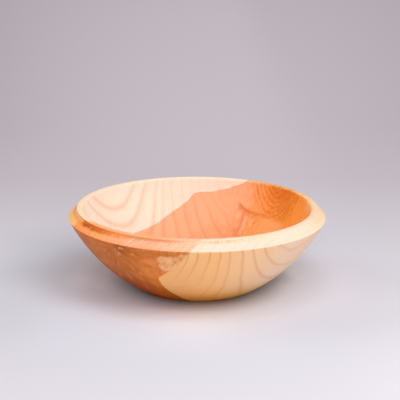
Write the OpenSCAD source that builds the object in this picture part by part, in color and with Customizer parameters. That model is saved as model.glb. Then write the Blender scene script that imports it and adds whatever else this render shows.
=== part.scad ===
// Shallow turned wooden bowl: one piece of wood with a flat foot, a curved wall,
// a sharp ridge, a sloping flange inside it, a small step and a flat lip.
// Millimetres, +Z up. The origin is the centre of the foot, on the surface it stands on.
// The whole form is one section, turned once round the Z axis.

/* [Overall] */
// Diameter across the sharp ridge, the widest place
bowl_d = 180; // [140:1:240]
// Height from the foot to the top of the lip
bowl_h = 55.8; // [44:0.1:75]

/* [Rim] */
// Width of the flat lip round the mouth
lip_w = 4.3; // [2:0.1:8]
// Height of the step from the flange up to the lip
step_h = 1.2; // [0.7:0.1:3]
// Level width of the sloping flange, from the step out to the ridge
flange_w = 5.9; // [3:0.1:10]
// Fall of the sloping flange, from the step down to the ridge
flange_drop = 5.1; // [2:0.1:9]

/* [Outside] */
// Diameter of the flat face that the bowl stands on
foot_d = 85; // [65:1:100]
// Level width of the eased edge round the foot
foot_ease_w = 3.1; // [1:0.1:5]
// Height of the eased edge round the foot
foot_ease_h = 1.2; // [0.5:0.1:3]
// Radius of the outside wall's curve, seen in section
wall_r = 125; // [100:1:180]

/* [Hollow] */
// Thickness of the wall between the floor and the rim
wall_t = 7.5; // [5:0.1:10]
// Thickness of the floor over the foot
floor_t = 8.5; // [5:0.1:12]
// Radius of the cove that turns the floor into the wall
cove_r = 34; // [15:1:45]
// Slope of the wall, from level, where it begins to thicken towards the rim
thicken_deg = 44; // [40:1:52]

/* [Edges] */
// Width of the sanded bevel on the sharp edges of the ridge and the lip
edge_w = 0.4; // [0.1:0.1:0.6]

/* [Hidden] */

// Between the pale sapwood and the orange heartwood
wood_colour = [0.93, 0.70, 0.47];
// Largest turn between two points of an arc
arc_step = 2;
// Flat steps that draw the full turn
$fn = 180;

// Section points: [distance from the axis, height]
foot_edge = [foot_d / 2 + foot_ease_w, foot_ease_h];
ridge = [bowl_d / 2, bowl_h - step_h - flange_drop];
groove = [bowl_d / 2 - flange_w, bowl_h - step_h];
mouth = [groove[0] - lip_w, bowl_h];

// Outside wall: one arc from the foot to the ridge
wall_centre = arc_centre(foot_edge, ridge, wall_r);
foot_deg = angle_of(foot_edge - wall_centre);
ridge_deg = angle_of(ridge - wall_centre);

// Inside wall: keeps wall_t from the outside wall, round the same centre
inner_r = wall_r - wall_t;

// Cove: touches the level floor and the inside wall
cove_rise = wall_centre[1] - floor_t - cove_r;
cove_centre = [wall_centre[0] + sqrt(pow(inner_r - cove_r, 2) - pow(cove_rise, 2)), floor_t + cove_r];
cove_deg = angle_of(cove_centre - wall_centre);

// Inside of the rim: touches the inside wall where it begins to thicken, which is
// always above the cove, and ends at the mouth
thick_deg = max(thicken_deg - 90, cove_deg + arc_step / 2);
to_mouth = mouth - wall_centre;
rim_shift = (inner_r * inner_r - to_mouth * to_mouth) / (2 * (inner_r - to_mouth * along(thick_deg)));
rim_centre = wall_centre + rim_shift * along(thick_deg);
rim_r = inner_r - rim_shift;
mouth_deg = angle_of(mouth - rim_centre);

// Unit direction at an angle in the section
function along(deg) = [cos(deg), sin(deg)];

// Angle of a direction in the section
function angle_of(v) = atan2(v[1], v[0]);

// Turn, in degrees, that moves a point by a length round an arc
function turn_of(length, r) = length / r * 180 / PI;

// Centre of the arc through a and b that lies to the left on the way from a to b
function arc_centre(a, b, r) =
    let (half = (b - a) / 2)
    a + half + [-half[1], half[0]] / norm(half) * sqrt(r * r - half * half);

// Points of an arc, both ends included
function arc(centre, r, from, to) =
    let (steps = max(1, ceil(abs(to - from) / arc_step)))
    [for (i = [0:steps]) centre + r * along(from + (to - from) * i / steps)];

// Outside, from the axis under the foot up to the lip
function outside() = concat(
    [[0, 0], [foot_d / 2, 0]],
    arc(wall_centre, wall_r, foot_deg, ridge_deg - turn_of(edge_w, wall_r)),
    [ridge + edge_w * (groove - ridge) / norm(groove - ridge)],
    [groove],
    [groove + [0, step_h - edge_w]],
    [groove + [-edge_w, step_h]]
);

// Hollow, from the mouth down to the axis over the floor
function hollow() = concat(
    [mouth + [edge_w, 0]],
    arc(rim_centre, rim_r, mouth_deg - turn_of(edge_w, rim_r), thick_deg),
    arc(wall_centre, inner_r, thick_deg - arc_step / 4, cove_deg + arc_step / 4),
    arc(cove_centre, cove_r, cove_deg, -90),
    [[0, floor_t]]
);

module bowl() {
    color(wood_colour)
        rotate_extrude()
            polygon(concat(outside(), hollow()));
}

bowl();
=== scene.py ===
from math import ceil, cos, pi, radians, sin

import bpy
import numpy as np
from mathutils import Matrix, Vector
from numpy.linalg import norm


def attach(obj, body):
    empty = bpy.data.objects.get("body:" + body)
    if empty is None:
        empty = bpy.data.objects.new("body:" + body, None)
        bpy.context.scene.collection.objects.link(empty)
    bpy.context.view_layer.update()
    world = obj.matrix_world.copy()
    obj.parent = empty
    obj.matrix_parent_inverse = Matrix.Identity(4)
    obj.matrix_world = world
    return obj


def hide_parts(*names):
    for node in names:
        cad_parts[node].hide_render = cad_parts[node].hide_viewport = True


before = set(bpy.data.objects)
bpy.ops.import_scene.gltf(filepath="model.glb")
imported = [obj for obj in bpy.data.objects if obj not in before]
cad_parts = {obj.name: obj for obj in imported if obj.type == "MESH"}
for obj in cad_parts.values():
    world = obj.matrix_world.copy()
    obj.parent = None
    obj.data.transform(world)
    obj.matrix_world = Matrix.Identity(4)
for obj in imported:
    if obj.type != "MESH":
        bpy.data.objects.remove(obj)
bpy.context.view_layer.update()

MM = 0.001

# Section of the bowl, millimetres

BOWL_D, BOWL_H = 180.0, 55.8
LIP_W, STEP_H, FLANGE_W, FLANGE_DROP = 4.3, 1.2, 5.9, 5.1
FOOT_D, FOOT_EASE_W, FOOT_EASE_H = 85.0, 3.1, 1.2
WALL_R, WALL_T, FLOOR_T, COVE_R = 125.0, 7.5, 8.5, 34.0
THICKEN_DEG = 44.0       # slope of the wall, from level, where it begins to thicken towards the rim

# How far from its corner each rounding starts
FOOT_RIM_SOFT, FOOT_EDGE_SOFT, GROOVE_SOFT = 0.5, 0.6, 0.12
EDGE_SOFT, MOUTH_SOFT = 0.4, 1.3

# Distance between points of the section, with fewer on the flat stretches and more on the lip
POINT_STEP, FOOT_STEP, FLOOR_STEP, LIP_STEP = 1.3, 2.5, 2.0, 0.9
FOOT_FINE_R = 38.0       # from here out the foot has the usual distance
FLOOR_GAP = 1.5          # between the end of the cove and the next point of the floor
FLANGE_SPAN, LIP_SPAN = (0.12, 0.93), (0.20, 0.66)   # shares of their widths that hold points of their own
SEGMENTS = 384           # steps round the turning axis


def vec(*v):
    return np.array(v, float)


def along(deg):
    return vec(cos(radians(deg)), sin(radians(deg)))


def angle_of(v):
    return float(np.degrees(np.arctan2(v[1], v[0])))


def between(a, b, share):
    return a + (b - a) * share


def line(a, b, step=POINT_STEP):
    """Points from a up to b, without b."""
    count = max(1, ceil(norm(b - a) / step))
    return [a + (b - a) * i / count for i in range(count)]


def arc(centre, r, start, end):
    """Points of an arc, both ends included."""
    count = max(1, ceil(abs(radians(end - start)) * r / POINT_STEP))
    return [centre + r * along(start + (end - start) * i / count) for i in range(count + 1)]


def soft_corner(before, corner, after, size):
    """Points that round a corner, leaving it size away on each side."""
    a = corner + size * (before - corner) / norm(before - corner)
    b = corner + size * (after - corner) / norm(after - corner)
    return [a * (1 - u) ** 2 + corner * 2 * u * (1 - u) + b * u * u for u in (0, 0.25, 0.5, 0.75, 1)]


foot_edge = vec(FOOT_D / 2 + FOOT_EASE_W, FOOT_EASE_H)
foot_rim = vec(FOOT_D / 2, 0)
ridge = vec(BOWL_D / 2, BOWL_H - STEP_H - FLANGE_DROP)
groove = vec(BOWL_D / 2 - FLANGE_W, BOWL_H - STEP_H)
lip_edge = vec(groove[0], BOWL_H)
mouth = vec(groove[0] - LIP_W, BOWL_H)

# The outside wall is one arc, and the inside wall runs round the same centre
half = (ridge - foot_edge) / 2
to_centre = vec(-half[1], half[0]) / norm(half) * np.sqrt(WALL_R ** 2 - half @ half)
wall_centre = foot_edge + half + to_centre
inner_r = WALL_R - WALL_T

# The cove touches the floor and the inside wall
cove_rise = wall_centre[1] - FLOOR_T - COVE_R
cove_out = np.sqrt((inner_r - COVE_R) ** 2 - cove_rise ** 2)
cove_centre = vec(wall_centre[0] + cove_out, FLOOR_T + COVE_R)
cove_deg = angle_of(cove_centre - wall_centre)

# The inside of the rim touches the inside wall where it begins to thicken, and ends at the mouth
thick_deg = THICKEN_DEG - 90
to_mouth = mouth - wall_centre
rim_shift = (inner_r ** 2 - to_mouth @ to_mouth) / (2 * (inner_r - to_mouth @ along(thick_deg)))
rim_centre = wall_centre + rim_shift * along(thick_deg)
rim_r = inner_r - rim_shift


def section():
    """The section from the axis under the foot round to the axis over the floor.

    With it come the numbers of its points at the ridge and at the outer edge of the lip.
    """
    wall = arc(wall_centre, WALL_R, angle_of(foot_edge - wall_centre), angle_of(ridge - wall_centre))
    rim = arc(rim_centre, rim_r, angle_of(mouth - rim_centre), thick_deg)
    foot_middle, foot_fine, floor_middle = vec(0, 0), vec(FOOT_FINE_R, 0), vec(0, FLOOR_T)

    points = line(foot_middle, foot_fine, FOOT_STEP) + line(foot_fine, foot_rim - vec(FOOT_EDGE_SOFT, 0))
    points += soft_corner(foot_middle, foot_rim, foot_edge, FOOT_RIM_SOFT)
    points += soft_corner(foot_rim, foot_edge, wall[1], FOOT_EDGE_SOFT) + wall[1:-1]
    points += soft_corner(wall[-2], ridge, groove, EDGE_SOFT)
    at_ridge = len(points) - 3
    points += line(*(between(ridge, groove, share) for share in FLANGE_SPAN))
    points += soft_corner(ridge, groove, lip_edge, GROOVE_SOFT)
    at_lip = len(points) + 1
    points += soft_corner(groove, lip_edge, mouth, EDGE_SOFT)
    points += line(*(between(lip_edge, mouth, share) for share in LIP_SPAN), LIP_STEP)
    points += soft_corner(lip_edge, mouth, rim[2], MOUTH_SOFT) + rim[2:-1]
    points += arc(wall_centre, inner_r, thick_deg, cove_deg)[:-1]
    points += arc(cove_centre, COVE_R, cove_deg, -90)
    points += line(vec(cove_centre[0] - FLOOR_GAP, FLOOR_T), floor_middle, FLOOR_STEP) + [floor_middle]
    return np.array(points), at_ridge, at_lip


# The wood, millimetres
# The bowl is turned from half a trunk. The trunk lies level, and its pith runs through the mouth.

TRUNK_DEG = 54.0                   # azimuth along the trunk
PITH_Z = 58.0                      # height of the pith for the wide rings
PITH_S, PITH_SLANT = -8.0, -0.147  # the pith's place across the trunk, and how it runs askew
PITH_RISE, PITH_DROP = 2.5, 12.0   # how much higher it lies at its far end, and lower at its near end
PITH_RISES, PITH_DROPS = (0, 60), (40, 88)     # where along the trunk it rises and, the other way, drops
PITH_RINGS = (14, 48)              # from the first distance to the second the rings lose its shifts
SIDES_BLEND = 16                   # how far past the pith the left rings turn into the right ones

# Radii of the growth rings on both sides of the pith, from the outermost seen inwards
INNER_RINGS = [19.2, 15.8, 12.2, 8.2, 4.0]
RINGS_LEFT = [104, 99, 94, 89, 84.5, 80.4, 76.3, 72.6, 68.6, 65.6, 62.0, 56.4, 50.8, 44.6, 39.8, 36.0,
              32.6, 29.2, 25.8, 22.4, *INNER_RINGS]
RINGS_RIGHT = [110, 105, 100, 95, 90.5, 86.4, 82.6, 77.9, 73.5, 68.9, 64.8, 60.2, 54.2, 49.6, 44.5, 39.0,
               34.4, 30.2, 26.2, 22.6, *INNER_RINGS]
FIRST_RING = 6                     # the place in both lists of ring 0

# Where rings are seen to pass: azimuth, height, ring, strength
MARKS_OUTSIDE = [
    (310, 47, -1, 0.3), (316, 41.3, -1, 0.5), (322, 45, -1, 0.3),
    (298.8, 48, 0, 0.8), (302.8, 39.2, 0, 0.9), (309.5, 32.9, 0, 0.8), (315, 30, 0, 0.6), (322, 29, 0, 0.3),
    (294, 49, 1, 1.0), (297, 38, 1, 0.8), (300, 33, 1, 0.6), (303, 28, 1, 0.8), (307, 23.5, 1, 1.0),
    (313, 20, 1, 0.8), (318, 18.5, 1, 0.6),
    (289.5, 49, 2, 0.9), (291, 36, 2, 0.7), (293, 25, 2, 0.5), (295, 20, 2, 0.8), (298, 14, 2, 0.7),
    (304, 6, 2, 0.5),
    (283.5, 49, 3, 0.6), (283.5, 36, 3, 0.6), (283.5, 24, 3, 0.4), (283.5, 13, 3, 0.5),
    (279.5, 49, 4, 1.0), (279.5, 38, 4, 0.7), (279.5, 30, 4, 0.35),
    (275.5, 49, 5, 0.9), (274.5, 38, 5, 0.45), (273.5, 28, 5, 0.1),
    (271.2, 49, 6, 1.4), (269, 41, 6, 1.4), (266.5, 34, 6, 0.5), (264.5, 28, 6, 0.1), (262, 20, 6, 0.0),
    (267.5, 47, 7, 1.4), (265.5, 42, 7, 1.2), (263, 35, 7, 0.25),
]
MARKS_INSIDE = [
    (162, 55.8, 0, 0.7), (157, 50, 0, 0.9), (150, 43.5, 0, 1.0), (143, 41.3, 0, 1.0), (136, 42.3, 0, 0.9),
    (131, 47, 0, 0.8), (127, 54.5, 0, 0.7),
    (170, 55, 1, 0.8), (162, 44, 1, 0.9), (155, 35, 1, 0.9), (150, 31.5, 1, 0.9), (140, 29.5, 1, 1.0),
    (135, 30.5, 1, 0.9), (130, 35, 1, 0.9), (126, 42, 1, 0.9), (122, 50, 1, 0.7), (119, 55.5, 1, 0.6),
    (113, 55, 2, 0.5), (114, 45, 2, 0.6), (117, 35, 2, 0.8), (121, 26, 2, 0.9),
    (109.5, 55, 3, 0.2), (110, 42, 3, 0.25),
    (105, 55, 4, 0.45), (105, 43, 4, 0.3), (105, 31, 4, 0.4), (103, 23, 4, 0.4),
    (99, 55, 5, 0.25), (99, 42, 5, 0.25), (98.5, 33, 5, 0.7), (98, 27, 5, 0.8), (96, 22, 5, 0.7),
    (94, 17, 5, 0.6),
    (93.5, 55, 6, 0.35), (92.5, 47, 6, 0.25), (91, 36, 6, 0.4), (90, 30, 6, 0.7), (88, 24, 6, 0.8),
    (86, 20, 6, 0.7), (83.5, 16, 6, 0.6),
    (88, 55, 7, 0.2), (88, 48, 7, 0.2), (84, 55, 8, 0.25), (84, 49, 8, 0.2), (79, 55, 9, 0.2),
    (77, 54, 10, 0.2),
]
BEND_REACH, STRENGTH_REACH = 6.5, 7.0   # how far from a mark the rings follow it in place and in strength

# Edge of the heartwood: height, distance across the trunk
HEART_LEFT = [(14, 67), (22.8, 62), (24, 60.5), (25.5, 59), (27, 57.8), (30, 56.5), (34, 53.6), (37, 51.3),
              (40, 49.2), (44, 47.6), (45.2, 46), (45.6, 42.5), (46.0, 37), (47.6, 31), (49.1, 25),
              (50.9, 22), (52.5, 17), (55.8, 12.5)]
HEART_LEFT_NEAR = [(22.8, 60), (24, 56), (28, 45.7), (34, 28.5), (42, 11.7), (50, -1.4), (55.8, -12)]
HEART_LEFT_FLANGE, HEART_LEFT_OUT = 47.5, 28.0
HEART_RIGHT = [(0, -24), (4, -22), (8, -21), (13, -19.7), (18, -19), (22, -19.3), (25.5, -20.7),
               (29, -25.5), (33, -31.0), (38, -38.2), (44, -43.6), (46.5, -45.6), (49.5, -48.7),
               (54.6, -50.9)]
HEART_RIGHT_INSIDE = [(8.5, -26), (12, -33), (20, -42), (32, -48.5), (55.8, -51.5)]
HEART_RIGHT_FAR = 25.0   # how much further out it is on the right of the far inside
HEART_BARREL, BARREL_REACH = 20.0, 75.0   # how much its right edge bulges, and how far along the trunk
NEAR_MOUTH_Y = 15.0      # nearer than this the lip's own tone reaches over the edge of the mouth

# Pale patches and dark streaks in the heartwood outside: azimuth, height, half width, half height, strength
PATCHES = [
    (255.6, 42.0, 4.2, 3.0, 1.4), (260.6, 43.8, 3.2, 2.0, 1.0), (254.4, 36.8, 2.8, 1.6, 1.0),
    (256.4, 34.6, 3.6, 2.0, 1.4), (259.0, 38.0, 3.4, 2.2, 1.5), (262.8, 40.8, 3.0, 1.8, 0.8),
    (236.6, 47.0, 3.6, 1.5, 0.62), (232.5, 43.0, 2.0, 4.0, 0.4), (263.6, 46.4, 2.4, 1.6, 0.7),
    (241.5, 43.6, 2.2, 1.8, 0.55), (234.4, 42.6, 1.8, 2.2, 0.5),
]
STREAKS = [
    (240, 40, 2, 1.2, 0.2), (237.2, 38, 1.5, 3.4, 0.3), (239.6, 30.5, 1.6, 3.4, 0.45),
    (242, 23, 1.6, 3.4, 0.35), (244.4, 16, 1.8, 3.0, 0.35), (248.5, 10.5, 2.4, 2.4, 0.5),
    (243, 39.5, 2, 1.4, 0.5), (246, 36, 1.8, 2.0, 0.5), (248, 31, 1.4, 2.6, 0.5),
    (249.5, 25, 1.4, 3.0, 0.4), (250, 19, 1.6, 3.0, 0.3), (228, 43, 3.2, 3.2, 0.4),
    (235.5, 45, 2.6, 2.6, 0.4), (222, 13, 14, 5, 0.3), (235.5, 48.2, 2.6, 0.7, 0.9),
]

# A dark curved line inside: azimuth, height
FEATHER = [(66, 46), (64.5, 42.5), (62, 38), (56, 35.5), (48.5, 34.9), (42, 34.7)]


def step01(x, start, end):
    """0 before start and 1 after end, smooth between."""
    u = np.clip((x - start) / (end - start), 0, 1)
    return u * u * (3 - 2 * u)


def curve(x, points):
    """A smooth line through points, level past its ends."""
    px, py = np.array(sorted(points), float).T
    slope = np.diff(py) / np.diff(px)
    before, after = slope[:-1], slope[1:]
    bent = np.where(after * before > 0, 2 * after * before / (after + before + 1e-12), 0)
    tangent = np.r_[0, bent, 0]
    x = np.clip(x, px[0], px[-1])
    i = np.clip(np.searchsorted(px, x, "right") - 1, 0, len(px) - 2)
    w = px[i + 1] - px[i]
    u = (x - px[i]) / w
    from_start = (1 + 2 * u) * (1 - u) ** 2 * py[i] + u * (1 - u) ** 2 * w * tangent[i]
    from_end = u * u * (3 - 2 * u) * py[i + 1] + u * u * (u - 1) * w * tangent[i + 1]
    return from_start + from_end


def across(at):
    """Distance across the trunk from its middle plane, left positive."""
    return at[:, :2] @ along(TRUNK_DEG + 90)


def lengthwise(at):
    """Distance along the trunk from the bowl's axis, far end positive."""
    return at[:, :2] @ along(TRUNK_DEG)


def ring_number(at):
    """The growth ring at each point, counted from ring 0 inwards, before the marks bend it."""
    s, t, z = across(at), lengthwise(at), at[:, 2]
    by_pith = 1 - step01(np.hypot(s, z - PITH_Z), *PITH_RINGS)
    lift = PITH_RISE * step01(t, *PITH_RISES) - PITH_DROP * step01(-t, *PITH_DROPS)
    pith_s = (PITH_S + PITH_SLANT * t) * by_pith
    pith_z = PITH_Z + lift * by_pith
    radius = np.hypot(s - pith_s, z - pith_z)
    numbers = np.arange(len(RINGS_LEFT)) - FIRST_RING
    left, right = (np.interp(radius, radii[::-1], numbers[::-1]) for radii in (RINGS_LEFT, RINGS_RIGHT))
    return left + (right - left) * step01(pith_s - s, -SIDES_BLEND, SIDES_BLEND)


def slope_of_rings(at):
    """How many rings there are to a millimetre, straight across them."""
    rise = [ring_number(at + step) - ring_number(at - step) for step in np.eye(3)]
    return np.sqrt(sum(r * r for r in rise)) / 2


def near_marks(at, values, reach, settle):
    """The mean of the marks' values near each point. It fades to 0 away from them."""
    gap = ((at[:, None, :] - marks_at[None]) ** 2).sum(2)
    weight = np.exp(-gap / (2 * reach ** 2))
    return weight @ values / (weight.sum(1) + settle)


def round_of(centre, r, z):
    """Distance from the axis, at a height, of an arc of the section."""
    return centre[0] + np.sqrt(r ** 2 - (z - centre[1]) ** 2)


def outside_r(z):
    return round_of(wall_centre, WALL_R, z)


def inside_r(z):
    if z < cove_centre[1] + COVE_R * sin(radians(cove_deg)):
        return round_of(cove_centre, COVE_R, z)
    if z < wall_centre[1] + inner_r * sin(radians(thick_deg)):
        return round_of(wall_centre, inner_r, z)
    return round_of(rim_centre, rim_r, z)


def on_wall(azimuth, z, radius_at):
    """The point of the outside or the inside wall at an azimuth and a height."""
    return vec(*(radius_at(z) * along(azimuth)), z)


marks = MARKS_OUTSIDE + MARKS_INSIDE
marks_at = np.array([on_wall(azimuth, z, outside_r) for azimuth, z, *_ in MARKS_OUTSIDE]
                    + [on_wall(azimuth, z, inside_r) for azimuth, z, *_ in MARKS_INSIDE])
marks_ring = np.array([ring for *_, ring, _ in marks], float)
marks_strength = np.array([strength for *_, strength in marks], float)


def spots(at, places):
    """How strongly each point lies in one of the soft spots on the outside."""
    total = np.zeros(len(at))
    for azimuth, height, half_w, half_h, strength in places:
        from_spot = at - on_wall(azimuth, height, outside_r)
        sideways = from_spot[:, :2] @ along(azimuth + 90) / half_w
        upwards = from_spot[:, 2] / half_h
        same_side = at[:, :2] @ along(azimuth) > 0
        total += strength * np.exp(-sideways ** 2 - upwards ** 2) * same_side
    return total


def feather(at):
    """Distance from the dark curved line inside, over or under it."""
    azimuth = np.degrees(np.arctan2(at[:, 1], at[:, 0]))
    rise = curve(azimuth + 0.5, FEATHER) - curve(azimuth - 0.5, FEATHER)
    slope = rise / (np.hypot(at[:, 0], at[:, 1]) * radians(1) + 0.01)
    return (at[:, 2] - curve(azimuth, FEATHER)) / np.hypot(1, slope)


def ring_strength(at, outside):
    """How dark the rings are: as the marks near them say, less high on the far inside, and else faint."""
    s, z = across(at), at[:, 2]
    plain = np.where(outside, 0.1, 0.16 - 0.1 * step01(s, 58, 70))
    strength = plain + near_marks(at, marks_strength, STRENGTH_REACH, 0.05) * (1 - plain)
    far_mouth = step01(z, 48, 54) * step01(at[:, 1], 20, 50)
    return strength * np.where(outside, 1, 1 - 0.35 * far_mouth)


def heartwood_depth(at, outside, flange, lip):
    """Distance into the heartwood from its edge, negative in the sapwood."""
    s, t, z = across(at), lengthwise(at), at[:, 2]
    near = step01(-t, 40, 56)
    edge, edge_near = curve(z, HEART_LEFT), np.where(flange, HEART_LEFT_FLANGE, curve(z, HEART_LEFT_NEAR))
    left_outside = edge + HEART_LEFT_OUT * step01(-t, -30, 62)
    left_inside = (edge - 0.4) * (1 - near) + edge_near * near
    left = np.where(outside, left_outside, left_inside)
    steep = np.abs(curve(z + 0.5, HEART_LEFT) - curve(z - 0.5, HEART_LEFT)) * (1 - near)

    bulge = HEART_BARREL * np.clip(1 - (t / BARREL_REACH) ** 2, 0, 1) * step01(t, -68, -35)
    right_outside = curve(z, HEART_RIGHT) - bulge * step01(z, 18, 36)
    right_inside = curve(z, HEART_RIGHT_INSIDE) - bulge - HEART_RIGHT_FAR * step01(t, -25, 35) * ~lip
    right = np.where(outside | flange, right_outside, right_inside)
    return np.minimum((left - s) / np.hypot(1, steep), (s - right) * 0.8)


def fields(at, outside, flange):
    """The slow fields of the wood at points in millimetres, by name.

    outside and flange say which points lie there.
    """
    lip_down = np.where(at[:, 1] < NEAR_MOUTH_Y, 0.9, 0.25)
    lip = (at[:, 2] > BOWL_H - lip_down) & ~outside & ~flange
    bend = near_marks(at, marks_ring - ring_number(marks_at), BEND_REACH, 0.02)
    return {
        "ring": ring_number(at) + bend,
        "ring_line": ring_strength(at, outside) * np.where(flange, 0.25, np.where(lip, 0.4, 1)),
        "ring_gap": 1 / np.maximum(slope_of_rings(at), 0.08),
        "heart": heartwood_depth(at, outside, flange, lip),
        "patch": np.where(outside, spots(at, PATCHES), 0),
        "feather": feather(at),
        "streak": np.where(outside, spots(at, STREAKS), 0),
        "outside": outside,
        "flange": flange,
        "lip": lip,
    }


def step_share(at):
    """How far each point lies in the step between flange and lip, 0 to 1."""
    r, z = np.hypot(at[:, 0], at[:, 1]), at[:, 2]
    away = np.hypot(r - groove[0], np.maximum(z - groove[1] - 0.2, 0) * 2)
    return np.clip(1.5 - away / 0.6, 0, 1) * (z > groove[1] - 0.8) * (r > mouth[0] + 2)


def lip_rim_share(at):
    """How far each point lies in the outer part of the lip, 0 to 1."""
    r = np.hypot(at[:, 0], at[:, 1])
    return np.where(at[:, 2] > groove[1] + 0.3, step01(r, groove[0] - 4.0, groove[0] - 2.2), 0)


# The mesh

TURNS = np.arange(SEGMENTS) * 2 * pi / SEGMENTS
DISC_R, DISC_LOW, DISC_HIGH = 0.288, 0.292, 0.708   # the two discs of the flat map: radius and centres


def turned_points(profile):
    """The section turned round the axis, row by row, and last its two ends on the axis."""
    r, z = profile[1:-1, 0], profile[1:-1, 1:]
    rows = np.stack([np.outer(r, np.cos(TURNS)), np.outer(r, np.sin(TURNS)), np.repeat(z, SEGMENTS, 1)], 2)
    return np.vstack([rows.reshape(-1, 3), (0, 0, profile[0][1]), (0, 0, profile[-1][1])])


def turned_faces(count):
    """The faces of a section of count points, from the foot's middle to the floor's."""
    foot_middle = (count - 2) * SEGMENTS
    floor_middle = foot_middle + 1
    last = count - 3

    def at(i, j):
        return i * SEGMENTS + j % SEGMENTS

    faces = [(foot_middle, at(0, j + 1), at(0, j)) for j in range(SEGMENTS)]
    for i in range(last):
        faces += [(at(i, j), at(i, j + 1), at(i + 1, j + 1), at(i + 1, j)) for j in range(SEGMENTS)]
    return faces + [(floor_middle, at(last, j), at(last, j + 1)) for j in range(SEGMENTS)]


def add_fields(mesh, verts, at_ridge, at_lip):
    """Stores the wood's slow fields on the points of the mesh."""
    row = np.arange(len(verts)) // SEGMENTS
    outside, flange = row < at_ridge, (row >= at_ridge) & (row < at_lip)
    # The last point but one is the foot's middle
    outside[-2] = True
    values = fields(verts, outside, flange)
    values["step"], values["lip_rim"] = step_share(verts), lip_rim_share(verts)
    for name, value in values.items():
        mesh.attributes.new(name, "FLOAT", "POINT").data.foreach_set("value", value.astype(np.float32))


def add_flat_map(mesh, profile, faces, at_ridge):
    """Lays out the outside and the inside as two discs, each by its length along the section."""
    last = len(profile) - 1
    length = np.r_[0, np.cumsum(norm(np.diff(profile, axis=0), axis=1))]
    spread_out = length / length[at_ridge] * DISC_R
    spread_in = (length[-1] - length) / (length[-1] - length[at_ridge]) * DISC_R
    corner = np.concatenate(faces)
    place = np.r_[np.repeat(np.arange(1, last), SEGMENTS), 0, last][corner]
    turn = np.r_[np.tile(TURNS, last - 1), 0, 0][corner]
    row = np.repeat(np.arange(last), SEGMENTS)
    under = np.repeat(row < at_ridge, [len(face) for face in faces])
    centre = np.where(under, DISC_LOW, DISC_HIGH)
    spread = np.where(under, spread_out[place], spread_in[place])
    u, v = centre + spread * np.cos(turn), centre + spread * np.sin(turn) * np.where(under, -1, 1)
    layer = mesh.uv_layers.new(name="OFBake")
    layer.uv.foreach_set("vector", np.stack([u, v], 1).astype(np.float32).ravel())


def build_bowl():
    """One closed turned mesh with the wood's slow fields on its points and a flat map of its two sides."""
    profile, at_ridge, at_lip = section()
    verts, faces = turned_points(profile), turned_faces(len(profile))
    mesh = bpy.data.meshes.new("bowl_wood")
    mesh.from_pydata(verts * MM, [], faces)
    mesh.polygons.foreach_set("use_smooth", [True] * len(faces))
    add_fields(mesh, verts, at_ridge, at_lip)
    add_flat_map(mesh, profile, faces, at_ridge)
    mesh.validate()
    piece = bpy.data.objects.new("bowl_wood", mesh)
    bpy.context.scene.collection.objects.link(piece)
    return piece


# Helpers for materials

def linear(*rgb):
    """A screen colour, 0 to 255, as the shader's numbers."""
    shares = [value / 255 for value in rgb]
    return (*(c / 12.92 if c <= 0.04045 else ((c + 0.055) / 1.055) ** 2.4 for c in shares), 1.0)


def join(value, socket):
    """Links a number or another socket to a socket, or sets a constant on it."""
    if isinstance(value, Num):
        value = value.socket
    if isinstance(value, bpy.types.NodeSocket):
        socket.id_data.links.new(value, socket)
    else:
        socket.default_value = value


class Num:
    """A number in a material. Sums and products of it become Math nodes."""

    def __init__(self, socket):
        self.socket = socket

    def math(self, kind, *others):
        node = self.socket.id_data.nodes.new("ShaderNodeMath")
        node.operation = kind
        for value, socket in zip((self, *others), node.inputs):
            join(value, socket)
        return Num(node.outputs[0])

    def __add__(self, other):
        return self.math("ADD", other)

    def __sub__(self, other):
        return self.math("SUBTRACT", other)

    def __rsub__(self, other):
        return self.math("MULTIPLY_ADD", -1.0, other)

    def __mul__(self, other):
        return self.math("MULTIPLY", other)

    __radd__, __rmul__ = __add__, __mul__

    def abs(self):
        return self.math("ABSOLUTE")

    def low(self, other):
        return self.math("MINIMUM", other)

    def high(self, other):
        return self.math("MAXIMUM", other)

    def step(self, start, end, top=1.0):
        """0 before start and top after end, smooth between. end may be the smaller one."""
        node = self.socket.id_data.nodes.new("ShaderNodeMapRange")
        node.interpolation_type = "SMOOTHSTEP"
        join(self, node.inputs["Value"])
        join(min(start, end), node.inputs["From Min"])
        join(max(start, end), node.inputs["From Max"])
        join(0.0 if end > start else top, node.inputs["To Min"])
        join(top if end > start else 0.0, node.inputs["To Max"])
        return Num(node.outputs["Result"])

    def window(self, start, full, still, end):
        """0 before start and after end, and 1 from full to still."""
        return self.step(start, full) * self.step(end, still)


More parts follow.
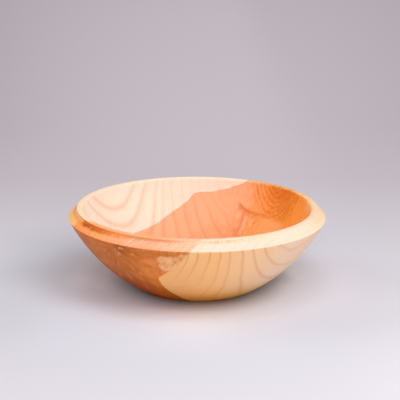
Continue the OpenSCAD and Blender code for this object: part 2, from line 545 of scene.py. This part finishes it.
class Material:
    """A node material, with helpers that keep its lines short."""

    def __init__(self, name):
        self.data = bpy.data.materials.new(name)
        self.data.use_nodes = True
        self.tree = self.data.node_tree
        self.shader = self.tree.nodes["Principled BSDF"]
        self.place = self.add("TexCoord").outputs["Object"]

    def add(self, kind):
        return self.tree.nodes.new("ShaderNode" + kind)

    def split(self, vector):
        """The three numbers of a vector."""
        node = self.add("SeparateXYZ")
        join(vector, node.inputs[0])
        return [Num(socket) for socket in node.outputs]

    def mix(self, share, a, b, kind="MIX"):
        """Colour a, or b where share is 1. Each is a colour or a socket."""
        node = self.add("Mix")
        node.data_type, node.blend_type, node.clamp_factor = "RGBA", kind, True
        sockets = {socket.identifier: socket for socket in (*node.inputs, *node.outputs)}
        join(share, sockets["Factor_Float"])
        join(a, sockets["A_Color"])
        join(b, sockets["B_Color"])
        return sockets["Result_Color"]

    def paint(self, colour, share, *screen_colour):
        """The colour, or a screen colour where share is 1."""
        return self.mix(share, colour, linear(*screen_colour))

    def tint(self, colour, share, *factors):
        """The colour, and where share is 1 the colour times three factors."""
        return self.mix(share, colour, (*factors, 1.0), "MULTIPLY")

    def ramp(self, value, stops, easing):
        """A colour that changes with a value. stops are (value, screen colour)."""
        node = self.add("ValToRGB")
        node.color_ramp.interpolation = easing
        join(value, node.inputs[0])
        for i, (where, colour) in enumerate(stops):
            stop = node.color_ramp.elements[i] if i < 2 else node.color_ramp.elements.new(where)
            stop.position, stop.color = where, linear(*colour)
        return node.outputs[0]


# Tones of the wood: screen colours by azimuth, from 90 degrees at the back once round to 450. The inside, the
# flange and the outside each have their own tones of the same wood, which hold painted light and shade as
# well as the wood's own colour

SAP_INSIDE = [
    (90, (240, 217, 198)), (130, (240, 218, 200)), (160, (240, 218, 200)), (173, (240, 227, 207)),
    (195, (240, 227, 207)), (230, (240, 217, 198)), (449, (240, 217, 198)),
]
SAP_FLANGE = [
    (150, (240, 214, 186)), (190, (250, 190, 120)), (205, (250, 190, 120)), (240, (232, 214, 188)),
    (300, (229, 216, 193)), (380, (236, 210, 176)), (449, (240, 214, 186)),
]
SAP_OUTSIDE = [
    (90, (240, 191, 141)), (248, (250, 189, 124)), (262, (248, 186, 124)), (275, (248, 190, 128)),
    (298, (246, 201, 156)), (315, (244, 210, 180)), (380, (244, 206, 172)), (449, (240, 190, 138)),
]
SAP_LIP = [
    (90, (250, 224, 192)), (200, (250, 218, 184)), (235, (250, 212, 178)), (280, (248, 222, 194)),
    (355, (248, 220, 190)), (449, (250, 224, 192)),
]
HEART_INSIDE = [
    (90, (242, 170, 130)), (130, (242, 174, 134)), (300, (240, 146, 74)), (365, (255, 168, 78)),
    (378, (250, 156, 62)), (390, (234, 138, 34)), (401, (236, 142, 58)), (411, (246, 156, 84)),
    (416, (242, 162, 108)), (422, (242, 169, 127)), (449, (242, 172, 132)),
]
HEART_FLANGE = [
    (90, (236, 150, 90)), (200, (252, 156, 70)), (222, (250, 163, 98)), (238, (241, 168, 126)),
    (246, (240, 172, 134)), (262, (240, 188, 152)), (340, (238, 170, 120)), (449, (236, 150, 90)),
]
HEART_LIP = [
    (90, (246, 176, 116)), (245, (248, 190, 150)), (268, (248, 204, 168)), (350, (248, 214, 176)),
    (370, (250, 200, 140)), (449, (246, 176, 116)),
]
HEART_OUTSIDE = [
    (90, (214, 129, 69)), (200, (206, 118, 57)), (222, (208, 118, 52)), (233, (202, 114, 52)),
    (240, (214, 123, 54)), (247, (233, 139, 69)), (262, (224, 138, 66)), (449, (214, 129, 69)),
]
# The step: painted shade in the groove, dark on the left
STEP = [
    (90, (236, 190, 150)), (196, (240, 180, 120)), (203, (248, 178, 118)), (207.5, (220, 106, 26)),
    (214, (204, 98, 10)), (220, (208, 106, 18)), (234, (226, 137, 70)), (244, (211, 134, 80)),
    (254, (220, 134, 90)), (271, (236, 203, 162)), (291, (230, 208, 174)), (320, (234, 214, 190)),
    (355, (238, 206, 174)), (449, (236, 190, 150)),
]
# The flange's band under the step: painted shadow of the step, dark brown on the left
FLANGE_TOP = [
    (90, (236, 180, 130)), (203, (244, 160, 80)), (207.5, (184, 76, 3)), (214, (190, 82, 4)),
    (222, (214, 112, 38)), (235, (234, 142, 92)), (244, (220, 146, 114)), (256, (238, 160, 120)),
    (272, (234, 196, 160)), (300, (228, 212, 188)), (355, (236, 206, 172)), (449, (236, 180, 130)),
]

# Over the foot and over the floor, where all azimuths meet, the tones run into one
SAP_FOOT, SAP_FLOOR = (244, 190, 134), (240, 216, 192)
HEART_FOOT, HEART_FLOOR = (214, 122, 58), (244, 160, 104)
MIDDLE_R, FOOT_MIDDLE_R, FLOOR_MIDDLE_R = 50.0, 14.1, 33.2   # where they begin to, and where they are one

# Zones with marks of their own, by azimuth from 90 to 450 or by height in millimetres.
# Four numbers say where a zone starts, is full, is still full and ends, and two where it starts and is full.
FAINT_RINGS_AZIMUTHS = (154.8, 163.8, 198.0, 208.8)
FLAME_AZIMUTHS, FLAME_HEIGHTS = (403.2, 411.5, 420.5, 428.4), (15, 24, 33, 38)
DEEP_HEIGHTS, DEEP_ACROSS, DEEP_ALONG = (10, 17, 18, 32), (-3, 4, 26, 40), (10, 30)
BROWN_AZIMUTHS, BROWN_HEIGHTS = (414.0, 419.0, 423.4, 430.2), (16, 26, 30, 40)
ORANGE_AZIMUTHS, ORANGE_HEIGHTS = (378.0, 388.8, 403.2, 408.6), (17, 23, 31, 36)
BLOTCH_AZIMUTHS, BLOTCH_HEIGHTS = (396.0, 410.4, 432.0, 444.6), (16, 22)
MOUTH_AZIMUTHS, MOUTH_HEIGHTS = (327.6, 342.0, 363.6, 376.2), (46.5, 54.5)
FEATHER_AZIMUTHS, FEATHER_HEIGHTS = (398.9, 408.6, 423.4, 427.0), (20, 27, 38, 42.5)
STROKES_AZIMUTHS = (199.1, 202.3, 212.4, 248.4)
SHORT_STROKES_AZIMUTHS = (199.1, 202.3, 230.4, 252.0)
SLANTING_AZIMUTHS = (228.6, 241.2)
LIP_RIM_AZIMUTHS = (207.0, 214.9, 248.4, 270.0)
DASHES_AZIMUTHS = (261.0, 270.0, 284.4, 297.0)

# Upright strokes round the pith's far end: azimuth, lower and upper height, half width, strength
FLAME_LIGHT = [
    (423.4, 28.0, 35.5, 2.2, 0.5), (417.2, 20.0, 32.5, 1.9, 0.5), (411.8, 25.0, 31.5, 2.0, 0.35),
    (408.2, 23.0, 29.0, 1.6, 0.25),
]
FLAME_DARK = [
    (419.6, 17.0, 33.5, 1.6, 0.6), (415.0, 22.5, 30.0, 1.2, 0.4), (414.4, 29.6, 33.4, 2.6, 0.6),
    (410.0, 26.6, 30.0, 1.4, 0.6), (421.6, 16.0, 24.0, 1.4, 0.3),
]
FLAME_MM = 415.0 / 360       # millimetres to a degree, round the inside where they lie
SEED_MM = (13.1, 7.7, 3.3)   # how far a seed of 1 moves a noise


class Wood(Material):
    """The wood's material, with the places and fields that its parts share."""

    def __init__(self, name):
        super().__init__(name)
        self.outside, self.flange, self.lip = self.field("outside"), self.field("flange"), self.field("lip")
        self.inside = 1 - self.outside
        self.t, self.s, self.z = self.split(self.trunk_place((1, 1, 1)))
        x, y, _ = self.split(self.place)
        # A share of a full turn, which starts and ends at the back, and the azimuth from 90 to 450 degrees
        self.turn = (y.math("ARCTAN2", x) * (0.5 / pi) - 0.25).math("WRAP", 1.0, 0.0)
        self.azimuth = self.turn * 360 + 90

        from_axis = self.t * self.t + self.s * self.s
        foot_middle = from_axis.step(MIDDLE_R ** 2, FOOT_MIDDLE_R ** 2)
        floor_middle = from_axis.step(MIDDLE_R ** 2, FLOOR_MIDDLE_R ** 2)
        self.middle = foot_middle * self.outside + floor_middle * self.inside

        # Distance from the pith, and the direction out from it
        self.far = self.t.step(-20, 20)
        pith_s = self.s - (self.t * PITH_SLANT + PITH_S)
        pith_z = self.z - (self.far * (PITH_RISE + PITH_DROP) + (PITH_Z - PITH_DROP))
        self.pith = (pith_s * pith_s + pith_z * pith_z).math("SQRT")
        self.out_s, self.out_z = (way.math("DIVIDE", self.pith + 0.5) for way in (pith_s, pith_z))
        self.core = self.pith.step(31, 24) * self.far

        # Edge between heartwood and sapwood, a little ragged along the grain
        self.edge = self.field("heart") + self.noise((9, 2.5, 2.5), 3, 0.6, 1) * 0.6
        sharpness = 1 - self.flange * 0.5 - self.outside * self.z.step(35, 43, 0.75)
        self.heart = (self.edge * sharpness).step(-0.35, 0.35)

        self.fibre = self.noise((26, 0.8, 0.8), 3, 0.6, 4)
        self.tongues = self.noise((3, 1.7, 7), 3, 0.6, 12)

    def field(self, name):
        """One of the slow fields on the mesh."""
        node = self.add("Attribute")
        node.attribute_name = name
        return Num(node.outputs["Fac"])

    def trunk_place(self, size, seed=0):
        """The place along the trunk, across it and upwards, with three sizes in millimetres as units."""
        node = self.add("Mapping")
        node.vector_type = "TEXTURE"
        join(self.place, node.inputs["Vector"])
        join((0, 0, radians(TRUNK_DEG)), node.inputs["Rotation"])
        join([value * MM for value in size], node.inputs["Scale"])
        join([value * MM * seed for value in SEED_MM], node.inputs["Location"])
        return node.outputs[0]

    def noise_of(self, place, detail, rough):
        """Noise from -1 to 1 at a place, with a grain of about 1."""
        node = self.add("TexNoise")
        join(place, node.inputs["Vector"])
        join(1.0, node.inputs["Scale"])
        join(detail, node.inputs["Detail"])
        join(rough, node.inputs["Roughness"])
        return Num(node.outputs["Fac"]).math("MULTIPLY_ADD", 2.0, -1.0)

    def noise(self, size, detail, rough, seed):
        """Noise from -1 to 1. size is its grain in millimetres, along the trunk, across it and upwards."""
        return self.noise_of(self.trunk_place(size, seed), detail, rough)

    def noise_at(self, x, y, z, detail=2, rough=0.6):
        """Noise from -1 to 1 at a place given by three numbers."""
        place = self.add("CombineXYZ")
        for value, socket in zip((x, y, z), place.inputs):
            join(value, socket)
        return self.noise_of(place.outputs[0], detail, rough)

    def rays(self, many, run, detail, shift=0):
        """Noise in rays out from the pith: how finely they divide, and how soon they change on their way."""
        return self.noise_at(self.out_s * many + shift, self.out_z * many, self.pith * run, detail)

    def strokes(self, many, lean, rise, drift=20, detail=2):
        """Noise in strokes on the rim: how many round it, how far they lean, how soon they change upwards."""
        return self.noise_at(self.turn * many + self.z * lean, self.z * rise, self.turn * drift, detail)

    def tones(self, stops, turn=None):
        """A colour that changes with the azimuth."""
        stops = [((azimuth - 90) / 360, colour) for azimuth, colour in stops]
        return self.ramp(turn or self.turn, stops, "EASE")

    def zones(self, inner_colour, flange_colour, outer_colour):
        """A colour for each surface."""
        return self.mix(self.outside, self.mix(self.flange, inner_colour, flange_colour), outer_colour)

    def upright(self, azimuth, bottom, top, width, share):
        """A soft wavy upright stroke on the inside, at an azimuth and between two heights."""
        away = ((self.azimuth - azimuth) * FLAME_MM + self.tongues * 2.4).abs()
        height = self.z.window(bottom, bottom + 2, top - 2, top)
        return away.step(width, width * 0.2, share) * height * self.inside


# Parts of the wood's colour

def growth_rings(w):
    """Shares of a fine dark line at each ring, a soft shade on its pith side and a glow near the pith."""
    uneven = w.noise((14, 4.5, 4.5), 3, 0.6, 9) * (0.12 * w.heart + 0.22 * w.core)
    uneven = uneven + w.noise((5, 2.2, 2.2), 3, 0.65, 14) * w.core * 0.32
    wavy = w.noise((40, 9, 9), 2, 0.5, 2) * 0.07 + w.noise((12, 3, 3), 3, 0.55, 3) * 0.05
    number = w.field("ring") + wavy + uneven
    past = number.math("WRAP", 0.5, -0.5)
    from_line = past.abs() * w.field("ring_gap")

    faint = w.inside * number.step(1.25, 1.6) * w.azimuth.window(*FAINT_RINGS_AZIMUTHS)
    quiet = w.pith.step(52, 36) * w.far * w.inside
    strength = w.field("ring_line") * (1 - 0.85 * faint)
    broken = w.rays(3, 0.35, 3)
    dashes = (0.2 + broken.step(-0.4, 0.2, 0.8)) * w.core + w.core.step(1.0, 0.0)
    thin = (from_line * (1 - 0.4 * w.core) * (1 + 0.2 * w.outside)).step(1.0, 0.0)
    dark = strength * (0.43 + 0.10 * w.outside) * (1 - 0.85 * quiet) + 0.6 * w.core
    shade = past.window(-0.06, 0.0, 0.0, 0.55) * strength * (1 - 0.5 * w.outside)
    glow = w.core * broken.step(-0.2, 0.6) * from_line.step(1.7, 0.2, 0.5)
    return thin * dark * dashes, shade, glow


def sapwood(w):
    """The pale wood, a little lighter outside next to the heartwood."""
    sap = w.zones(w.tones(SAP_INSIDE), w.tones(SAP_FLANGE), w.tones(SAP_OUTSIDE))
    sap = w.mix(w.middle, sap, w.mix(w.outside, linear(*SAP_FLOOR), linear(*SAP_FOOT)))
    sap = w.mix(w.lip, sap, w.tones(SAP_LIP))
    return w.paint(sap, w.outside * w.z.step(34, 46) * w.edge.step(-8.0, -2.0, 0.15), 252, 222, 176)


def heartwood(w):
    """The orange wood, mottled, with rays and streaks outside, and painted shade outside low down, less red
    low on the front and right, and under the ridge.
    """
    inner = w.tones(HEART_INSIDE, w.turn + w.noise((4, 2.2, 9), 3, 0.6, 10) * 0.02)
    heart = w.zones(inner, w.tones(HEART_FLANGE), w.tones(HEART_OUTSIDE))
    heart = w.mix(w.middle, heart, w.mix(w.outside, linear(*HEART_FLOOR), linear(*HEART_FOOT)))
    heart = w.mix(w.lip, heart, w.tones(HEART_LIP))
    # Painted shade outside low down, with less red low on the front and right
    heart = w.tint(heart, w.outside * w.z.step(32, 8), 0.79, 0.62, 0.14)
    heart = w.tint(heart, w.outside * w.z.step(22, 8) * w.azimuth.step(243.0, 251.3), 0.84, 0.98, 1.0)
    # Painted shade under the ridge, weaker towards the right
    shade_under_ridge = w.z.step(39, 46) * w.s.step(6, -2) * (1 + w.azimuth.step(256.3, 264.6, -0.6))
    heart = w.tint(heart, w.outside * shade_under_ridge, 0.80, 0.74, 0.64)
    mottle = w.noise((14, 7, 7), 3, 0.6, 7)
    heart = w.tint(heart, mottle.step(0.0, 0.8, 0.4) * (0.3 + 0.7 * w.outside), 0.74, 0.60, 0.44)
    rays = w.rays(5, 0.12, 4, 3) * (w.t * w.t).step(1600, 4600)
    heart = w.tint(heart, rays.step(0.0, 0.5, 0.75) * w.pith.step(2, 9) * w.outside, 0.70, 0.56, 0.42)
    heart = w.paint(heart, rays.step(-0.05, -0.5, 0.6) * w.outside, 238, 160, 104)
    return w.tint(heart, w.field("streak"), 0.70, 0.56, 0.40)


def pale_patches(w, heart):
    """Pale patches in the heartwood outside, stippled and in slanting strokes."""
    stipple = w.noise((2.2, 1.0, 1.0), 2, 0.6, 11)
    slanted = w.noise_at(w.turn * 190 - w.z * 0.29, w.turn * 58 + w.z * 0.13, w.turn * 20)
    share = (w.field("patch") + stipple * 0.16 + slanted * 0.30).step(0.2, 0.85, 0.9)
    tone = w.mix((slanted + stipple * 0.3).step(-0.5, 0.5), linear(238, 164, 108), linear(254, 202, 154))
    return w.mix(share, heart, tone)


def pith_end(w, colour):
    """Deeper orange round the far end of the pith, with dark and light wisps out from it."""
    wisps = w.rays(4, 1.0, 2, 9)
    colour = w.tint(colour, w.core * w.pith.step(20, 9), 0.91, 0.75, 0.48)
    colour = w.tint(colour, w.core * wisps.step(0.0, 0.7, 0.6), 0.80, 0.64, 0.42)
    return w.paint(colour, w.core * wisps.step(-0.1, -0.7, 0.55), 255, 186, 104)


def flame(w, colour):
    """Ragged edge between the pink wood and the orange wood round the far end of the pith."""
    zone = w.azimuth.window(*FLAME_AZIMUTHS) * w.z.window(*FLAME_HEIGHTS) * w.inside
    colour = w.paint(colour, zone * w.tongues.step(0.0, 0.5, 0.4), 255, 196, 150)
    colour = w.tint(colour, zone * w.tongues.step(-0.05, -0.5, 0.45), 0.80, 0.60, 0.40)
    for stroke in FLAME_LIGHT:
        colour = w.paint(colour, w.upright(*stroke), 255, 202, 160)
    for stroke in FLAME_DARK:
        colour = w.tint(colour, w.upright(*stroke), 0.82, 0.60, 0.40)
    return colour


def far_inside(w, colour):
    """Deeper colour low on the far inside, brown beside the flame and orange to its right."""
    deep = w.z.window(*DEEP_HEIGHTS) * w.s.window(*DEEP_ACROSS) * w.t.step(*DEEP_ALONG)
    colour = w.tint(colour, w.inside * deep, 0.98, 0.90, 0.80)
    start, full, still, end = BROWN_AZIMUTHS
    brown = (w.azimuth + w.tongues * 2.16).step(start, full) * w.azimuth.step(end, still)
    brown = brown * (w.z + w.tongues * 4).window(*BROWN_HEIGHTS)
    colour = w.tint(colour, w.inside * brown * 0.6, 0.94, 0.76, 0.62)
    orange = w.azimuth.window(*ORANGE_AZIMUTHS) * w.z.window(*ORANGE_HEIGHTS)
    return w.paint(colour, w.inside * orange * 0.6, 255, 180, 118)


def blotches(w, colour):
    """Soft blotches in the far heartwood."""
    blotch = w.noise((6, 3, 4), 3, 0.65, 13)
    zone = w.azimuth.window(*BLOTCH_AZIMUTHS) * w.z.step(*BLOTCH_HEIGHTS)
    share = zone * w.inside * w.heart * (1 - 0.7 * w.core)
    colour = w.paint(colour, share * blotch.step(0.0, 0.5, 0.35), 255, 196, 158)
    return w.tint(colour, share * blotch.step(0.0, -0.5, 0.5), 0.98, 0.86, 0.76)


def right_mouth(w, colour):
    """Paler and pinker along the mouth on the right."""
    zone = w.azimuth.window(*MOUTH_AZIMUTHS) * w.z.step(*MOUTH_HEIGHTS)
    return w.paint(colour, w.inside * zone * 0.6, 255, 204, 160)


def feather_line(w, colour):
    """A dark curved line under the rings round the pith, with a brown shade below it."""
    zone = w.azimuth.window(*FEATHER_AZIMUTHS) * w.z.window(*FEATHER_HEIGHTS) * w.inside
    hair = w.field("feather") + w.tongues * 0.8
    colour = w.tint(colour, hair.abs().step(1.5, 0.1, 0.32) * zone, 0.70, 0.48, 0.28)
    shade = hair.window(-5.0, -0.6, -0.6, 0.4) * 0.3 * (1 + w.azimuth.step(406.8, 411.1, 2.3))
    return w.tint(colour, shade * zone, 0.86, 0.66, 0.40)


def fibre_and_foot_shade(w, colour):
    """Painted shade outside towards the foot, deeper and less blue low down, then the fine fibre and broad
    soft clouds.
    """
    cloud = w.noise((60, 22, 22), 2, 0.5, 6)
    # Painted shade towards the foot
    colour = w.tint(colour, w.outside * w.z.step(24, 2, 0.9), 0.95, 0.82, 0.52)
    colour = w.tint(colour, w.outside * w.z.step(14, 2), 0.99, 0.86, 0.42)
    colour = w.tint(colour, w.fibre.step(-0.1, 0.9, 0.3), 0.86, 0.74, 0.62)
    return w.tint(colour, cloud.step(-0.1, 0.9, 0.3), 0.90, 0.82, 0.74)


def flange_shade_and_grain(w, colour):
    """The flange: painted shadow of the step under it, dark brown on the left, painted shade along the ridge
    in the heartwood, and short strokes of end grain.
    """
    strokes = w.strokes(150, 0.25, 0.22, detail=3)
    # Painted shadow of the step on the flange's upper band, wider on the left
    step_shadow = (w.z + strokes * 0.9 + w.azimuth.step(255.6, 219.6, 1.3)).step(52.8, 54.5)
    colour = w.mix(w.flange * step_shadow * w.z.step(55.0, 54.5), colour, w.tones(FLANGE_TOP))
    # Painted shade along the ridge, in the heartwood
    colour = w.tint(colour, w.flange * w.heart * w.z.step(50.8, 49.5), 1.0, 0.86, 0.72)
    zone = w.flange * w.azimuth.window(*STROKES_AZIMUTHS)
    colour = w.tint(colour, zone * strokes.step(0.0, 0.4, 0.35), 0.90, 0.68, 0.36)

    short = w.strokes(330, 0.35, 0.25)
    zone = w.flange * w.azimuth.window(*SHORT_STROKES_AZIMUTHS)
    colour = w.tint(colour, zone * short.step(0.0, 0.35, 0.6), 0.92, 0.66, 0.40)
    colour = w.paint(colour, zone * short.step(-0.05, -0.4, 0.45), 255, 180, 116)

    slanting = w.strokes(260, -0.55, 0.12, drift=30)
    zone = w.flange * w.heart * w.azimuth.step(*SLANTING_AZIMUTHS)
    colour = w.tint(colour, zone * slanting.step(0.05, 0.45, 0.8), 0.95, 0.76, 0.62)
    return w.paint(colour, zone * slanting.step(-0.05, -0.45, 0.5), 250, 206, 182)


def step_and_lip(w, colour):
    """An orange edge to the lip on the left, the step's tones with painted shade in the groove on the left,
    and dashes of painted shade along it in front.
    """
    colour = w.paint(colour, w.field("lip_rim") * w.azimuth.window(*LIP_RIM_AZIMUTHS), 248, 175, 116)
    step, fleck = w.field("step"), w.noise((5, 1.3, 1.3), 2, 0.5, 8)
    # Painted shade in the groove, from the step's tones, dark on the left
    colour = w.mix(step * (0.95 + 0.2 * fleck), colour, w.tones(STEP))
    # Dashes of painted shade along the groove in front
    dashes = w.noise_at(w.turn * 260, w.turn * 30, w.turn * 7, 2, 0.5)
    zone = step.step(0.2, 0.6) * w.azimuth.window(*DASHES_AZIMUTHS)
    return w.tint(colour, zone * dashes.step(-0.1, 0.25, 0.65), 0.93, 0.70, 0.62)


def wood_material():
    w = Wood("bowl_wood")
    line_share, shade_share, glow_share = growth_rings(w)
    colour = w.mix(w.heart, sapwood(w), pale_patches(w, heartwood(w)))
    colour = w.tint(colour, line_share, 0.80, 0.58, 0.36)
    colour = w.tint(colour, glow_share, 0.82, 0.56, 0.30)
    for part in (pith_end, flame, far_inside, blotches, right_mouth, feather_line):
        colour = part(w, colour)
    colour = w.tint(colour, shade_share * 0.4, 0.93, 0.84, 0.72)
    for part in (fibre_and_foot_shade, flange_shade_and_grain, step_and_lip):
        colour = part(w, colour)
    join(colour, w.shader.inputs["Base Color"])
    join(w.fibre * 0.05 + 0.46, w.shader.inputs["Roughness"])
    w.shader.inputs["Specular IOR Level"].default_value = 0.08

    bump = w.add("Bump")
    bump.inputs["Strength"].default_value = 0.25
    bump.inputs["Distance"].default_value = 0.12 * MM
    join(w.fibre * 0.5 + w.noise((9, 0.35, 0.35), 2, 0.6, 5), bump.inputs["Height"])
    join(bump.outputs[0], w.shader.inputs["Normal"])
    return w.data


bowl = build_bowl()
bowl.data.materials.append(wood_material())
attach(bowl, "root")
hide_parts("bowl")


# Floor, metres

FLOOR_R, FLOOR_CORNERS = 7.0, 48
FLOOR_LEVEL = 0.97
# Tones by the distance away from the viewer, darker farther back: painted fall-off of the light
FLOOR_TONES = [
    (-0.2, (229, 223, 229)), (0.0, (219, 212, 218)), (0.13, (207, 200, 206)), (0.3, (196, 187, 194)),
    (2.0, (188, 178, 184)),
]
# A painted pool of light in front of the bowl and a painted shadow on its left: where each zone starts, is
# full, is still full and ends
GLOW_X, GLOW_Y = (-0.13, -0.08, -0.01, 0.04), (-0.16, -0.09, -0.06, -0.02)
SHADOW_X, SHADOW_Y = (-0.17, -0.12, -0.100, -0.075), (-0.03, 0.03, 0.08, 0.15)


def floor_light(x, y, glow):
    """The pool of light: brighter on the right and in the glow in front, dim far out, shaded on the left."""
    side = x.math("DIVIDE", (y + 0.81).high(0.6))
    dim = (side * side * -4.0).high(-0.14) * y.step(0.1, 0.6)
    pool = dim + (side * 0.3).high(-0.05).low(0.05) + FLOOR_LEVEL
    right = x.step(0.06, 0.16) * (y.step(0.02, -0.06, 0.05) - y.step(-0.02, 0.10, 0.06))
    return pool + right - x.window(*SHADOW_X) * y.window(*SHADOW_Y) * 0.09 + glow * 0.065


def contact_shade(x, y, away):
    """Painted shade: darker close to the foot, and darker still at the back on the right where the wall hangs
    low over the floor. At the back on the left it paints light instead.
    """
    lean = x.math("DIVIDE", away + MM)
    on_right = 1 - lean.high(0.0) * away.step(0.074, 0.062) * y.step(-0.014, 0.010, 0.20)
    on_left = 1 - lean.low(0.0) * away.step(0.100, 0.080) * y.step(-0.045, 0.005, 0.16)
    return (0.5 + away.step(0.042, 0.070, 0.5)) * on_right * on_left


def floor_material():
    m = Material("floor")
    x, y, _ = m.split(m.place)
    away = (x * x + y * y).math("SQRT")
    glow = y.window(*GLOW_Y) * x.window(*GLOW_X)
    nearest, span = FLOOR_TONES[0][0], FLOOR_TONES[-1][0] - FLOOR_TONES[0][0]
    stops = [((distance - nearest) / span, tone) for distance, tone in FLOOR_TONES]
    colour = m.ramp((y - nearest) * (1 / span), stops, "LINEAR")
    # Painted cooler close to the bowl and in the glow in front, against the warm light that the wood throws
    # on the floor
    cool = away.step(0.26, 0.07) * (1 + x.step(0.06, 0.13, -0.4)) + glow * 0.2
    colour = m.tint(colour, cool, 0.93, 1.0, 1.03)
    # Painted brown light from the wood on the floor at the foot, in front, which also darkens it
    colour = m.tint(colour, away.step(0.053, 0.045) * y.step(-0.028, -0.040), 0.98, 0.76, 0.56)
    bright = m.add("VectorMath")
    bright.operation = "SCALE"
    join(colour, bright.inputs[0])
    join(floor_light(x, y, glow) * contact_shade(x, y, away), bright.inputs["Scale"])
    join(bright.outputs[0], m.shader.inputs["Base Color"])
    m.shader.inputs["Roughness"].default_value = 0.9
    m.shader.inputs["Specular IOR Level"].default_value = 0.0
    return m.data


floor_mesh = bpy.data.meshes.new("floor")
corners = [FLOOR_R * along(360 * i / FLOOR_CORNERS) for i in range(FLOOR_CORNERS)]
floor_mesh.from_pydata([(x, y, 0) for x, y in corners], [], [list(range(FLOOR_CORNERS))])
floor = bpy.data.objects.new("floor", floor_mesh)
floor.data.materials.append(floor_material())
bpy.context.scene.collection.objects.link(floor)


# Light and camera

LIGHT_SPREAD_DEG = 34
scene = bpy.context.scene


def studio_world():
    """Even light from all round. The camera and reflections see the floor's far tone instead."""
    world = bpy.data.worlds.new("studio")
    world.use_nodes = True
    nodes = world.node_tree.nodes
    background, backdrop = nodes["Background"], nodes.new("ShaderNodeBackground")
    background.inputs["Color"].default_value = (0.90, 0.90, 0.94, 1)
    background.inputs["Strength"].default_value = 0.32
    backdrop.inputs["Color"].default_value = linear(*FLOOR_TONES[-1][1])
    path = nodes.new("ShaderNodeLightPath")
    camera_ray, glossy_ray, clear_ray = (Num(path.outputs[f"Is {kind} Ray"])
                                         for kind in ("Camera", "Glossy", "Transmission"))
    choice = nodes.new("ShaderNodeMixShader")
    join(camera_ray.high(glossy_ray).high(clear_ray), choice.inputs[0])
    join(background.outputs[0], choice.inputs[1])
    join(backdrop.outputs[0], choice.inputs[2])
    join(choice.outputs[0], nodes["World Output"].inputs["Surface"])
    return world


def soft_light(name, azimuth, elevation, level):
    """Soft light from far away. level 1 alone renders a surface that faces it at its own colour."""
    data = bpy.data.lights.new(name, "SUN")
    data.angle, data.energy = radians(LIGHT_SPREAD_DEG), level * pi
    lamp = bpy.data.objects.new(name, data)
    way = Vector((*along(azimuth) * cos(radians(elevation)), sin(radians(elevation))))
    lamp.location = way * 2
    lamp.rotation_euler = way.to_track_quat("Z", "Y").to_euler()
    scene.collection.objects.link(lamp)


scene.world = studio_world()
soft_light("key", -32, 52, 0.30)
soft_light("front", -84, 21, 0.46)
soft_light("top", -88, 74, 0.22)
soft_light("right", 22, 20, 0.20)
soft_light("left", 162, 24, 0.27)

# The camera, in metres and radians. It fits the ridge, the lip and the lowest outline in the photograph.
CAMERA_AT = (0.0, -0.810, 0.27679)
PITCH, YAW, ROLL = 0.261856, -0.0023453, 0.0057243
LENS_PX, PICTURE_PX, SENSOR = 1196.94, 400, 36.0

camera_data = bpy.data.cameras.new("camera")
camera_data.sensor_width = SENSOR
camera_data.lens = LENS_PX / PICTURE_PX * SENSOR
camera_data.clip_end = 50
camera = bpy.data.objects.new("camera", camera_data)
scene.collection.objects.link(camera)
ahead = Vector((-cos(PITCH) * sin(YAW), cos(PITCH) * cos(YAW), -sin(PITCH)))
right = Vector((cos(YAW), sin(YAW), 0))
up = right.cross(ahead)
right, up = right * cos(ROLL) + up * sin(ROLL), up * cos(ROLL) - right * sin(ROLL)
camera.matrix_world = Matrix.Translation(CAMERA_AT) @ Matrix((right, up, -ahead)).transposed().to_4x4()
scene.camera = camera
scene.view_settings.view_transform = "Standard"

bpy.context.view_layer.update()
